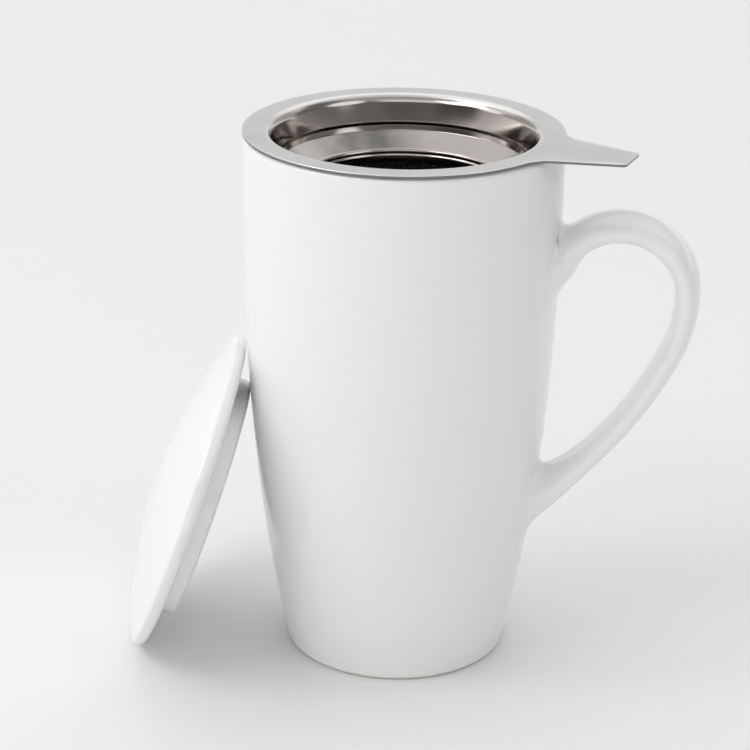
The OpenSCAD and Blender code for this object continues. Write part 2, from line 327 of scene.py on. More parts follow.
steel, given, out = effect(
    "Stainless sheet",
    [("Where", VECTOR, None), ("Satin", FLOAT, 1.0)],
    [("Colour", COLOUR), ("Roughness", FLOAT), ("Relief", FLOAT)],
)
ring_place = steel.add("ShaderNodeCombineXYZ", {
    "X": steel.from_axis(given["Where"]), "Y": steel.height(given["Where"])}).outputs[0]
die_rings = steel.noise(ring_place, DIE_RINGS, 2.0)
blasting = steel.noise(given["Where"], BLASTING, 2.0, 0.7)
smears = steel.noise(given["Where"], SMEARS, 3.0)
satin_tone = steel.mix(smears, *SATIN_TONES)
steel.put(steel.mix(given["Satin"], POLISHED_TONE, satin_tone), out["Colour"])
steel.put(steel.blend(given["Satin"], steel.spread(smears, *POLISHED_ROUGH),
                      steel.spread(smears, *SATIN_ROUGH)), out["Roughness"])
steel.put(steel.blend(given["Satin"], die_rings, blasting), out["Relief"])
print("steel group nodes", len(steel.nodes))

# %% Rim steel
FLANGE_FROM, LEDGE_FROM = (0.0358, 0.0361), (0.0276, 0.0279)  # metres from the axis
EDGE_FROM, EDGE_BELOW = (0.0370, 0.0376), (0.14862, 0.14874)
LEDGE_BELOW, LEDGE_SATIN = (0.1392, 0.1396), 0.12
EDGE_DARK, STEEL_DEEP = 0.9, 0.000004
BLOTCH_AT, BLOTCH_R = (-0.016, 0.025, 0.137), (0.004, 0.022)
TEA_FILM, SHEARED_EDGE_AND_SHADE_TONE = (0.115, 0.115, 0.105, 1), (0.16, 0.15, 0.145, 1)
FILM_ALL_OVER, FILM_IN_BLOTCH, FILM_CLOUDS = 0.25, 0.45, 140.0

rim_steel, tree, shader, where = material("rim steel", Metallic=1.0)
from_axis, height = tree.from_axis(where), tree.height(where)
flange = tree.ramp(from_axis, *FLANGE_FROM)
ledge = tree.sum("MULTIPLY", tree.ramp(height, *LEDGE_BELOW, 1.0, 0.0),
                 tree.ramp(from_axis, *LEDGE_FROM))
satin = tree.sum("MAXIMUM", flange, tree.sum("MULTIPLY", ledge, LEDGE_SATIN))
surface = tree.place("Stainless sheet", {"Where": where, "Satin": satin})
from_blotch = tree.vector("LENGTH", tree.vector("SUBTRACT", where, BLOTCH_AT))
film = tree.sum("ADD", tree.ramp(from_blotch, *BLOTCH_R, FILM_IN_BLOTCH, 0.0),
                FILM_ALL_OVER)
clouds = tree.spread(tree.noise(where, FILM_CLOUDS), 0.8, 1.15)
film = tree.sum("MULTIPLY", tree.sum("MULTIPLY", film, clouds), ledge)
# Darker under the flange and tab and low on their edge: a dark sheared edge and painted
# shade.
sheared_and_shaded = tree.sum("MULTIPLY", tree.ramp(height, *EDGE_BELOW, EDGE_DARK, 0.0),
                   tree.ramp(from_axis, *EDGE_FROM))
clean = tree.mix(sheared_and_shaded, surface["Colour"], SHEARED_EDGE_AND_SHADE_TONE)
tree.put(tree.mix(film, clean, TEA_FILM), shader["Base Color"])
tree.put(surface["Roughness"], shader["Roughness"])
bump(tree, shader, surface["Relief"], STEEL_DEEP)
print("materials", [m.name for m in bpy.data.materials])

# %% [markdown]
# ## The mug
# A porcelain mug like this is jiggered: a template shapes the inside and the outside
# while the mould turns. An outer skin with a thickness added would have the same wall
# at the lip, the heel and the foot, so both sides are drawn as one closed profile and
# spun round the axis. The wall is narrow at the foot and swells quickly at first and
# then ever less, up to the lip, which is a full round. Inside, the floor runs into the
# wall by a large radius.

# %% Sizes of the mug
MUG_H, LIP_R, FOOT_R, SWELL = 148.0, 43.0, 30.5, 2.7
LIP_T, WALL_T, FLOOR_T = 3.4, 4.4, 4.6
HEEL_R, FOOT_HOLLOW, FOOT_RING_W, FOOT_ROUND = 9.0, 2.0, 3.0, 1.4
HOLLOW_FLAT, HOLLOW_SLOPE, HOLLOW_ROUND = 12.0, 2.6, 0.8
RING_INSET, RING_ROUND, FLOOR_FLAT = 0.3, 0.5, 8.0
WALL_STEPS, ROUND_STEPS = 70, 240


def wall_r(z):
    """Outer radius of the mug at a height."""
    return LIP_R - (LIP_R - FOOT_R) * (1 - z / MUG_H) ** SWELL


def bore_r(z):
    """Inner radius of the mug at a height."""
    return wall_r(z) - LIP_T - (WALL_T - LIP_T) * (1 - z / MUG_H)


print("wall at foot, half height and lip mm",
      [round(wall_r(z), 1) for z in (0, MUG_H / 2, MUG_H)])

# %% The mug's wall, floor and foot
lip_round = LIP_T / 2
floor_z, heel_z = FOOT_HOLLOW + FLOOR_T, FOOT_HOLLOW + FLOOR_T + HEEL_R
wall_top = MUG_H - lip_round
ring_out = wall_r(FOOT_ROUND) - FOOT_ROUND
ring_in = ring_out - FOOT_RING_W

heights = [FOOT_ROUND + (wall_top - FOOT_ROUND) * i / WALL_STEPS
           for i in range(1, WALL_STEPS + 1)]
inner_heights = [heel_z + (wall_top - heel_z) * i / WALL_STEPS
                 for i in range(WALL_STEPS, 0, -1)]
profile = (
    [(0, FOOT_HOLLOW), (HOLLOW_FLAT, FOOT_HOLLOW)]
    + arc((ring_in - HOLLOW_SLOPE, FOOT_HOLLOW - HOLLOW_ROUND), HOLLOW_ROUND, 90, 45, 4)
    + arc((ring_in + RING_INSET, RING_ROUND), RING_ROUND, 225, 270, 4)
    + arc((ring_out, FOOT_ROUND), FOOT_ROUND, -90, 0, 10)
    + [(wall_r(z), z) for z in heights]
    + arc((LIP_R - lip_round, wall_top), lip_round, 8, 172, 26)
    + [(bore_r(z), z) for z in inner_heights]
    + arc((bore_r(heel_z) - HEEL_R, heel_z), HEEL_R, 0, -90, 16)
    + [(FLOOR_FLAT, floor_z), (0, floor_z)]
)
bm = bmesh.new()
turned(bm, profile, ROUND_STEPS)
finish_piece(bm, "glazed_mug", "mug", mug_glaze, ["mug_body"])

# %% [markdown]
# ## The handle
# The handle is a strap of clay, bent into an ear and stuck to the wall with slip. Its
# middle follows three arcs that run into each other. Its section is a plump oval that
# grows towards both roots. A bevelled curve would keep one section all along, so the
# strap is lofted instead: a circle is made for each station along it, shaped into the
# oval, turned square to the strap, and bridged to the one before. The slip that oozes
# out at a root is wiped to a small hollow fillet, so the points close to the wall are
# pushed outwards along a quarter round, and kept at the distance from the wall that
# they had. Below the surface the fillet runs on, so that it meets the wall at a shallow
# angle and leaves no step.

# %% Sizes of the strap
STRAP_Z, STRAP_RISE, STRAP_STRAIGHT = 114.8, 56.0, 4.1
BEND_R, BEND_TURN = (17.6, 40.8, 118.4), (145.3, 24.8)
STRAP_T, STRAP_THIN, STRAP_W, STRAP_TAPER, STRAP_OVAL = 7.8, 2.2, 18.0, 1.6, 2.3
FLARE, FLARE_LEN, CHIN_LEN = (4.0, 5.0), (5.0, 7.0), 4.0
STRAP_SIDES, BURIED = 48, 3.0
FILLET, FILLET_BELOW, BELOW_STEEP = 2.8, 0.4, 4
PIECES, PER_PIECE, LAST_TURN = 56, 12, 32.0

bend_len = [r * math.radians(turn) for r, turn in zip(BEND_R, BEND_TURN)]


def strap_heading(t):
    """Heading in degrees at t from the upper wall, after the bends so far."""
    past, heading = max(0, t - STRAP_STRAIGHT), STRAP_RISE
    for r, length in zip(BEND_R, (*bend_len, math.inf)):
        heading -= math.degrees(min(past, length) / r)
        past = max(0, past - length)
    return heading


print("lengths of the first two bends mm", [round(length, 1) for length in bend_len])

# %% The stations along the strap
last_len = BEND_R[2] * math.radians(LAST_TURN)
strap_span = BURIED + STRAP_STRAIGHT + sum(bend_len) + last_len
piece_len = strap_span / PIECES


def strap_stations():
    """(x, z, heading, distance) along the middle, both ends inside the wall."""
    step, rise = piece_len / PER_PIECE, math.radians(STRAP_RISE)
    x, z = wall_r(STRAP_Z) - BURIED * math.cos(rise), STRAP_Z - BURIED * math.sin(rise)
    stations, length = [], None
    for i in range(PIECES * PER_PIECE + 1):
        t = i * step - BURIED
        stations.append((x, z, strap_heading(t), t))
        if length is None and i % PER_PIECE == 0 and t > piece_len and x < wall_r(z):
            length = t - piece_len / 2
        at = math.radians(strap_heading(t + step / 2))
        x, z = x + step * math.cos(at), z + step * math.sin(at)
    return stations, length


stations, strap_len = strap_stations()
print("strap length mm", round(strap_len, 1), "stations", len(stations))


# %% The section of the strap
def fade(t):
    """How much of the upper and of the lower root is felt at t."""
    return (math.exp(-max(0, t) / FLARE_LEN[0]),
            math.exp(-max(0, strap_len - t) / FLARE_LEN[1]))


def strap_section(t):
    """Thickness above and below the middle, and half width, of the strap at t."""
    top, low = fade(t)
    chin = math.exp(-((max(0, t) / CHIN_LEN) ** 2))
    half_t = (STRAP_T - STRAP_THIN * t / strap_len) / 2 + FLARE[1] * low
    return (half_t + FLARE[0] * top, half_t + FLARE[0] * chin,
            (STRAP_W - STRAP_TAPER * t / strap_len) / 2
            + FLARE[0] / 4 * top + FLARE[1] / 3 * low)


def section_turn(heading, t):
    """The section stands square to the strap, and upright at either wall."""
    top = math.exp(-((max(0, t) / FLARE_LEN[0]) ** 2))
    low = math.exp(-((max(0, strap_len - t) / FLARE_LEN[1]) ** 2))
    return heading * (1 - top) * (1 - low) - 180 * low


def plump(v):
    """A sine or a cosine, pushed outwards to make the oval plumper."""
    return math.copysign(abs(v) ** (2 / STRAP_OVAL), v)


print("half section mid strap mm", [round(v, 2) for v in strap_section(strap_len / 2)])


# %% The strap, lofted and filleted onto the wall
def onto_wall(v, centre):
    """Pushes a point near the wall outwards, along the fillet."""
    gap = math.hypot(v.co.x, v.co.y) - wall_r(v.co.z)
    if gap < FILLET:
        near = FILLET - max(gap, 0)
        below = BELOW_STEEP * min(max(-gap, 0), FILLET_BELOW)
        away = v.co - centre
        away.x = 0
        v.co += away.normalized() * (FILLET - math.sqrt(FILLET**2 - near**2) + below)
        v.co.x = math.sqrt((wall_r(v.co.z) + gap) ** 2 - v.co.y**2)


def strap_ring(bm, station):
    """One oval section, from a circle that is shaped, turned and put in place."""
    x, z, heading, t = station
    over, under, half_w = strap_section(t)
    lean = math.radians(section_turn(heading, t))
    centre = Vector((x, 0, z))
    verts = bmesh.ops.create_circle(bm, segments=STRAP_SIDES, radius=1)["verts"]
    for v in verts:
        q = math.atan2(v.co.y, v.co.x)
        wide, out = half_w * plump(math.sin(q)), plump(math.cos(q))
        out *= over if out > 0 else under
        v.co = centre + Vector((-out * math.sin(lean), wide, out * math.cos(lean)))
        onto_wall(v, centre)
    return list({e for v in verts for e in v.link_edges})


bm = bmesh.new()
rings = [strap_ring(bm, station) for station in stations]
for before, after in zip(rings, rings[1:]):
    bmesh.ops.bridge_loops(bm, edges=before + after)
bmesh.ops.holes_fill(bm, edges=rings[0] + rings[-1], sides=0)
finish_piece(bm, "glazed_handle", "mug", handle_glaze, ["mug_handle"])

# %% [markdown]
# ## The lid
# The lid is cast in one piece: a low dome with a rounded edge, hollow below, and a
# skirt that drops into the infuser's collar. It could be modelled where it leans, but a
# round piece is easiest to turn lying flat, so its profile is spun with the underside
# at zero, and one matrix then stands it on its edge, against the mug.

# %% Sizes of the lid
LID_R, LID_EDGE, LID_CORNER, DOME_H, SHELL_T = 45.6, 2.0, 1.0, 11.6, 4.2
SKIRT_R, SKIRT_H, SKIRT_T, SKIRT_ROUND = 34.4, 4.9, 3.6, 1.1
HOLLOW_CORNER, HOLLOW_CORNER_UP, HOLLOW_CORNER_TURN = 1.5, 2.2, 1.2
LEAN, LID_TURN, LEAN_GAP = 19.3, 189.6, 0.3

edge_x = LID_R - LID_EDGE
dome_up = DOME_H - LID_EDGE
drop = (edge_x**2 + LID_EDGE**2 - dome_up**2) / (2 * (DOME_H - 2 * LID_EDGE))
dome_r = DOME_H + drop
corner_x = LID_R - LID_CORNER
corner_up = math.sqrt((dome_r - LID_CORNER) ** 2 - corner_x**2)
dome_end = math.degrees(math.atan2(corner_up, corner_x))
hollow_r, skirt_in = dome_r - SHELL_T, SKIRT_R - SKIRT_T
hollow_end = math.degrees(math.acos(skirt_in / hollow_r))
print("dome radius mm", round(dome_r, 1), "its centre below the edge", round(drop, 1))

# %% The place where the lid stands
sin_lean, cos_lean = math.sin(math.radians(LEAN)), math.cos(math.radians(LEAN))
corner_along = edge_x + SKIRT_R - SKIRT_ROUND
corner_below = SKIRT_H - SKIRT_ROUND + LID_EDGE
corner_z = LID_EDGE + corner_along * cos_lean - corner_below * sin_lean
stand_x = (wall_r(corner_z) + LEAN_GAP + SKIRT_ROUND
           + corner_along * sin_lean + corner_below * cos_lean)
lid_place = (
    Matrix.Rotation(math.radians(LID_TURN), 4, "Z")
    @ Matrix.Translation((stand_x, 0, LID_EDGE))
    @ Matrix.Rotation(math.radians(90 - LEAN), 4, "Y")
    @ Matrix.Translation((-edge_x, 0, -LID_EDGE))
)
print("lid stands at mm", [round(v, 2) for v in lid_place.translation])

# %% The lid
lid_up = (lid_place.to_3x3() @ Vector((0, 0, 1))).normalized()
skirt_end = lid_place @ Vector((0, 0, -SKIRT_H))
lid_glaze = glazed_material("lid glaze", up=tuple(lid_up),
                            ring_at=lid_up.dot(skirt_end) * MM, bare=0.0007)
profile = (
    [(0, hollow_r - drop)]
    + arc((0, -drop), hollow_r, 89, hollow_end + HOLLOW_CORNER_TURN, 16)
    + arc((skirt_in - HOLLOW_CORNER, HOLLOW_CORNER_UP), HOLLOW_CORNER, 60, 0, 6)
    + arc((skirt_in + SKIRT_ROUND, SKIRT_ROUND - SKIRT_H), SKIRT_ROUND, 180, 270, 8)
    + arc((SKIRT_R - SKIRT_ROUND, SKIRT_ROUND - SKIRT_H), SKIRT_ROUND, 270, 360, 8)
    + arc((SKIRT_R + SKIRT_ROUND, -SKIRT_ROUND), SKIRT_ROUND, 180, 90, 8)
    + arc((edge_x, LID_EDGE), LID_EDGE, -90, 0, 16)
    + arc((corner_x, corner_up - drop), LID_CORNER, 0, dome_end, 12)
    + arc((0, -drop), dome_r, dome_end, 89.3, 40)
    + [(0, DOME_H)]
)
bm = bmesh.new()
turned(bm, profile, ROUND_STEPS)
bmesh.ops.transform(bm, matrix=lid_place, verts=bm.verts)
finish_piece(bm, "glazed_lid", "lid", lid_glaze, ["lid"])

# %% [markdown]
# ## The rim, tab and collar of the infuser
# One disc of sheet is drawn in a press: a flat flange with a finger tab, a wall, a
# groove pressed out below it, a sloping ledge, and a neck with a small bead that the
# sleeve is pushed against. The section could be drawn as a curve by hand, but it is
# worked out here as the press leaves it, bend by bend, so that each bend keeps its own
# radius. Then it is spun. The spin is done in two parts, coarse round the back and fine
# across the tab, because the tab's outline is shaped afterwards, by moving the
# outermost points out along their own direction until they reach it.

# %% Sizes of the drawn sheet
RIM_T, NECK_T, SHEET_T, SEAT_GAP = 0.8, 0.5, 0.4, 0.05
BEND_START = 37.5
COLLAR_R = (1.6, 3.0, 0.8, 0.7, 0.8, 0.6, 0.5, 0.5, 0.5)
COLLAR_TURN = (50, 22, 36, -38, -36, 56, -38, 76, -38)
COLLAR_RUN = (0.7, 4.9, 0.35, 1.2, 6.63, 0.5, 0.1, 0.1, 0.511)
TAB_TURN, TAB_REACH, TAB_END_W = -13.5, 63.4, 11.2
TAB_TAPER, TAB_BLEND, TAB_CORNER = 15.0, 9.0, 1.0
RIM_Z = MUG_H + SEAT_GAP
BEND_STEPS = 10
print("bends", len(COLLAR_R), "turning degrees in all", sum(COLLAR_TURN))


# %% The section of the collar
def collar_middle():
    """(radius, height, heading) of the sheet's middle, bend by bend."""
    x, z, heading, path = BEND_START, RIM_T / 2, 180.0, []
    for r, turn, run in zip(COLLAR_R, COLLAR_TURN, COLLAR_RUN):
        side = 1 if turn > 0 else -1
        a = math.radians(heading)
        cx, cz = x - side * r * math.sin(a), z + side * r * math.cos(a)
        for k in range(BEND_STEPS + 1):
            at = heading + turn * k / BEND_STEPS
            a = math.radians(at)
            path.append((cx + side * r * math.sin(a), cz - side * r * math.cos(a), at))
        heading += turn
        x = path[-1][0] + run * math.cos(a)
        z = path[-1][1] + run * math.sin(a)
    return path + [(x, z, heading)]


def collar_face(path, side):
    """One face of the sheet, which thins over the first quarter as it is drawn down."""
    face = []
    for i, (x, z, heading) in enumerate(path):
        thin = min(1, 4 * i / len(path))
        half = (RIM_T + (NECK_T - RIM_T) * thin) / 2 * side
        a = math.radians(heading)
        face.append((x - half * math.sin(a), z + half * math.cos(a)))
    return face


path = collar_middle()
neck_r, neck_z = path[-1][:2]
print("neck mm", round(neck_r, 2), round(RIM_Z + neck_z, 2))


# %% The outline of the tab
def tab_outline():
    """The radius of the flange's outline by angle from the tab's middle."""
    slope = math.radians(TAB_TAPER)
    square = Vector((math.sin(slope), math.cos(slope)))
    along = Vector((math.cos(slope), -math.sin(slope)))
    line = TAB_REACH * math.sin(slope) + TAB_END_W / 2 * math.cos(slope)
    blend_s = math.sqrt((LIP_R + TAB_BLEND) ** 2 - (line + TAB_BLEND) ** 2)
    blend = square * (line + TAB_BLEND) + along * blend_s
    corner_x = TAB_REACH - TAB_CORNER
    corner_y = (line - TAB_CORNER - corner_x * math.sin(slope)) / math.cos(slope)
    corner = Vector((corner_x, corner_y))

    def angle_of(p):
        return math.atan2(p.y, p.x)

    def crossing(u, centre, r, far):
        mid = u.dot(centre)
        half = math.sqrt(max(0, r * r - centre.length_squared + mid * mid))
        return mid + half if far else mid - half

    ends = (math.atan2(corner.y, TAB_REACH), angle_of(corner + TAB_CORNER * square),
            angle_of(square * line + along * blend_s), angle_of(blend))

    def radius(angle):
        u = Vector((math.cos(angle), math.sin(abs(angle))))
        if abs(angle) < ends[0]:
            return TAB_REACH / u.x
        if abs(angle) < ends[1]:
            return crossing(u, corner, TAB_CORNER, True)
        if abs(angle) < ends[2]:
            return line / square.dot(u)
        if abs(angle) < ends[3]:
            return crossing(u, blend, TAB_BLEND, False)
        return LIP_R

    return radius, math.degrees(ends[3])


outline, tab_half = tab_outline()
print("tab spans degrees", round(2 * tab_half, 1))

# %% The section of the drawn sheet
EDGE_ROUND = 0.22
FLANGE_ROWS = (38.4, 39.6, 40.8, 41.8)  # radii that divide the flat flange

upper, lower = collar_face(path, -1), collar_face(path, 1)
flange_edge = (
    arc((LIP_R - EDGE_ROUND, EDGE_ROUND), EDGE_ROUND, -90, 0, 5)
    + arc((LIP_R - EDGE_ROUND, RIM_T - EDGE_ROUND), EDGE_ROUND, 0, 90, 5)
)
loop = (
    [(x, 0) for x in FLANGE_ROWS] + flange_edge
    + [(x, RIM_T) for x in reversed(FLANGE_ROWS)]
    + upper + lower[::-1]
)
print("points round the section", len(loop))

# %% The drawn sheet, spun, and its tab drawn out
FINE_STEP, COARSE_STEPS = 0.25, 200
SHAPED_FROM = BEND_START + 0.2

bm = bmesh.new()
section = chain(bm, loop)
section.append(bm.edges.new((section[len(loop) - 1], section[0])))
fine = tab_half + 1
turn_by(bm, math.radians(-fine), bm.verts)
ended = spin(bm, section, round(2 * fine / FINE_STEP), math.radians(2 * fine))
spin(bm, ended, COARSE_STEPS, math.radians(360 - 2 * fine))
for v in bm.verts:
    reach, angle = math.hypot(v.co.x, v.co.y), math.atan2(v.co.y, v.co.x)
    if reach > SHAPED_FROM and abs(angle) < math.radians(tab_half):
        share = min(1, (reach - SHAPED_FROM) / (LIP_R - EDGE_ROUND - SHAPED_FROM))
        grown = reach + share * (outline(angle) - LIP_R)
        v.co.x, v.co.y = v.co.x * grown / reach, v.co.y * grown / reach
turn_by(bm, math.radians(TAB_TURN), bm.verts)
bmesh.ops.translate(bm, vec=(0, 0, RIM_Z), verts=bm.verts)
finish_piece(bm, "drawn_rim", "infuser", rim_steel, ["infuser_rim"],
             crease=50)

# %% [markdown]
# ## The perforated sleeve
# The basket's wall is a sheet etched with thousands of tiny holes, rolled into a tube
# and welded round the neck. The holes could be a mask in the material, but they are
# real openings here, because the light that comes through them is what makes the sheet
# look like a sheet and not like paint. One six-sided cell with a hole in it is bent to
# the tube's radius, and a spin that copies makes a ring of them. The ring is copied up
# the tube, each time half a cell further round. A piece this fine is split into bands,
# so that no mesh becomes too heavy.

# %% Sizes of the basket
BASKET_DEPTH, SLEEVE_LAP, CAP_H, CAP_BEND = 82.0, 1.8, 3.4, 1.2
WELD_GAP = 0.02
HOLES_ROUND, HOLE_R = 184, 0.31
BANDS, BORDER_TOP, BORDER_LOW = 4, 2.6, 3.4

sleeve_in = neck_r + NECK_T / 2 + WELD_GAP
sleeve_out = sleeve_in + SHEET_T
sleeve_top = RIM_Z + neck_z + SLEEVE_LAP
base_z = RIM_Z + RIM_T - BASKET_DEPTH
sleeve_low = base_z + CAP_BEND

pitch = math.tau * sleeve_out / HOLES_ROUND
row_up = pitch * math.sqrt(3) / 2
mesh_height = sleeve_top - BORDER_TOP - sleeve_low - BORDER_LOW
row_count = int(mesh_height / row_up) // BANDS * BANDS
first_row = sleeve_low + BORDER_LOW + (mesh_height - (row_count - 1) * row_up) / 2
print("holes", HOLES_ROUND * row_count, "pitch mm", round(pitch, 3), "rows", row_count)

# %% Basket steel, plain outside and with painted shade inside
BASKET_SATIN, INSIDE_SHADE_TONE, INSIDE_SHADE_BY = 0.6, (0.075, 0.07, 0.067, 1), 0.8
SKIN = (0.1, 0.3)  # depths in the sheet between which the outside ends

basket_steel, tree, shader, where = material("basket steel", Metallic=1.0)
round_it = tree.ramp(tree.from_axis(where), (sleeve_out - SKIN[1]) * MM,
                     (sleeve_out - SKIN[0]) * MM)
below_it = tree.ramp(tree.height(where), (base_z + SKIN[0]) * MM,
                     (base_z + SKIN[1]) * MM, 1.0, 0.0)
outside = tree.sum("MAXIMUM", round_it, below_it)
surface = tree.place("Stainless sheet", {"Where": where, "Satin": BASKET_SATIN})
# The inside of the sheet is painted nearly black: painted shade inside the basket.
painted_shade_inside = tree.mix(INSIDE_SHADE_BY, surface["Colour"], INSIDE_SHADE_TONE)
tree.put(tree.mix(outside, painted_shade_inside, surface["Colour"]), shader["Base Color"])
tree.put(surface["Roughness"], shader["Roughness"])
bump(tree, shader, surface["Relief"], STEEL_DEEP)
print("basket steel nodes", len(tree.nodes))


# %% One cell of the sheet
CELL_R, CELL_DOUBLES = pitch / math.sqrt(3), 0.002


def hex_cell(bm):
    """A six-sided cell in the XY plane with a six-sided hole."""
    outer = bmesh.ops.create_circle(bm, segments=6, radius=CELL_R)["verts"]
    inner = bmesh.ops.create_circle(bm, segments=6, radius=HOLE_R)["verts"]
    edges = list({e for v in outer + inner for e in v.link_edges})
    bmesh.ops.bridge_loops(bm, edges=edges)


def everything(bm):
    return list(bm.verts) + list(bm.edges) + list(bm.faces)


def verts_in(geom):
    return [g for g in geom if isinstance(g, bmesh.types.BMVert)]


def jagged_edges(bm):
    """The open edges of the cells, without the shorter ones round the holes."""
    return [e for e in bm.edges if e.is_boundary and e.calc_length() > 1.5 * HOLE_R]


print("open share of the sheet", round((HOLE_R / CELL_R) ** 2, 2))


# %% A band of cells
def cell_band(rows, start_row):
    """Rows of cells rolled round the axis, each half a cell further round."""
    bm = bmesh.new()
    hex_cell(bm)
    for v in bm.verts:
        turn = v.co.x / sleeve_out
        v.co = (sleeve_out * math.cos(turn), sleeve_out * math.sin(turn), v.co.y)
    steps = HOLES_ROUND - 1
    spin(bm, everything(bm), steps, math.tau * steps / HOLES_ROUND, copies=True)
    half_cell = math.pi / HOLES_ROUND
    ring = everything(bm)
    for k in range(1, rows):
        copy = verts_in(bmesh.ops.duplicate(bm, geom=ring)["geom"])
        turn_by(bm, half_cell * (k % 2), copy)
        bmesh.ops.translate(bm, vec=(0, 0, k * row_up), verts=copy)
    turn_by(bm, half_cell * (start_row % 2), bm.verts)
    bmesh.ops.translate(bm, vec=(0, 0, first_row + start_row * row_up), verts=bm.verts)
    bmesh.ops.remove_doubles(bm, verts=bm.verts, dist=CELL_DOUBLES)
    return bm


rows = row_count // BANDS
print("rows in a band", rows)


# %% How a band ends, faces outwards and gets its thickness
def plain_border(bm, beyond, to_z):
    """Draws the jagged end of a band out to a straight edge."""
    jagged = [e for e in jagged_edges(bm)
              if all((v.co.z - beyond) * (to_z - beyond) > 0 for v in e.verts)]
    drawn = bmesh.ops.extrude_edge_only(bm, edges=jagged)["geom"]
    for v in verts_in(drawn):
        v.co.z = to_z


def outwards(bm, point):
    """Turns an open shell so that its faces point away from a point."""
    bmesh.ops.recalc_face_normals(bm, faces=bm.faces)
    if sum((f.calc_center_median() - point).dot(f.normal) for f in bm.faces) < 0:
        bmesh.ops.reverse_faces(bm, faces=bm.faces)


def sheet_thickness(piece, thickness):
    """Gives an open shell the thickness of its sheet, inwards."""
    solid = piece.modifiers.new("sheet", "SOLIDIFY")
    solid.thickness, solid.offset = thickness * MM, -1.0


last_z = first_row + (row_count - 1) * row_up
print("rows of holes from mm", round(first_row, 2), "up to", round(last_z, 2))

# %% The bands of the sleeve
for band in range(BANDS):
    bm = cell_band(rows, band * rows)
    if band == 0:
        plain_border(bm, first_row, sleeve_low)
    if band == BANDS - 1:
        plain_border(bm, last_z, sleeve_top)
    outwards(bm, Vector((0, 0, (sleeve_low + sleeve_top) / 2)))
    piece = finish_piece(bm, f"sleeve_band_{band + 1}", "infuser",
                         basket_steel, ["infuser_sleeve"] if band == 0 else [],
                         crease=0, closed=False)
    sheet_thickness(piece, SHEET_T)

# %% [markdown]
# ## The seam and the bottom cap
# The rolled sheet laps over itself in a plain strip, held by a row of spot welds that
# leave small round dents. The dents are pushed into a fine strip, because a bump would
# not bend the highlight on them as far. The bottom is a cap of the same perforated
# sheet with its wall turned up round the sleeve. Its flat cells are laid out in rows
# and kept where they fit in a circle. The gap between their jagged edge and the round
# rim is filled with triangles, which cannot be seen because the sheet is flat there.

# %% The lap seam
SEAM_W, SEAM_TURN, SEAM_ROWS, SEAM_STEPS = 3.2, 2.5, 300, 16
SEAM_SUNK, SEAM_BELOW_NECK, SEAM_OFF_BASE, SEAM_THIN = 0.03, 0.5, 0.1, 0.9
WELD_R, WELD_PITCH, WELD_DEEP = 0.7, 4.0, 0.15

seam_r = sleeve_in - SHEET_T + SEAM_SUNK
seam_half = math.degrees(math.asin(SEAM_W / 2 / sleeve_in))
seam_low, seam_top = sleeve_low + SEAM_OFF_BASE, RIM_Z + neck_z - SEAM_BELOW_NECK
bm = bmesh.new()
strip = chain(bm, [(seam_r, seam_low + (seam_top - seam_low) * i / SEAM_ROWS)
                   for i in range(SEAM_ROWS + 1)])
turn_by(bm, math.radians(SEAM_TURN - seam_half), bm.verts)
spin(bm, strip, SEAM_STEPS, math.radians(2 * seam_half))
for v in bm.verts:
    across = (math.atan2(v.co.y, v.co.x) - math.radians(SEAM_TURN)) * seam_r
    along = (v.co.z - sleeve_low) % WELD_PITCH - WELD_PITCH / 2
    near = max(0, 1 - math.hypot(across, along) / WELD_R)
    push = 1 + WELD_DEEP * near * near * (3 - 2 * near) / seam_r
    v.co.x, v.co.y = v.co.x * push, v.co.y * push
outwards(bm, Vector((0, 0, (seam_low + seam_top) / 2)))
seam = finish_piece(bm, "sleeve_seam", "infuser", rim_steel,
                    closed=False)
sheet_thickness(seam, SHEET_T * SEAM_THIN)

# %% The flat cells of the bottom cap
CAP_BORDER, CAP_STEPS = 1.2, 144

cap_out = sleeve_out + WELD_GAP + SHEET_T
flat_r = cap_out - CAP_BEND
keep_r = flat_r - CAP_BORDER


def row_of_cells(bm, half_count):
    """A row of single cells along X, each kept as its own list."""
    hex_cell(bm)
    first = everything(bm)
    cells = {0: first}
    for i in range(1, half_count + 1):
        for side in (-i, i):
            copy = bmesh.ops.duplicate(bm, geom=first)["geom"]
            bmesh.ops.translate(bm, vec=(side * pitch, 0, 0), verts=verts_in(copy))
            cells[side] = copy
    return cells


bm = bmesh.new()
cells = row_of_cells(bm, int(keep_r / pitch) + 1)
for row in range(-int(keep_r / row_up), int(keep_r / row_up) + 1):
    across, up = (row % 2) / 2, row * row_up
    inside = [i for i in cells if math.hypot((i + across) * pitch, up) < keep_r]
    if row == 0:
        spare = [f for i in cells if i not in inside for f in cells[i]
                 if isinstance(f, bmesh.types.BMFace)]
        continue
    copy = bmesh.ops.duplicate(bm, geom=[g for i in inside for g in cells[i]])["geom"]
    bmesh.ops.translate(bm, vec=(across * pitch, up, 0), verts=verts_in(copy))
bmesh.ops.delete(bm, geom=spare, context="FACES")
bmesh.ops.remove_doubles(bm, verts=bm.verts, dist=CELL_DOUBLES)
print("faces in the cap's cells", len(bm.faces))

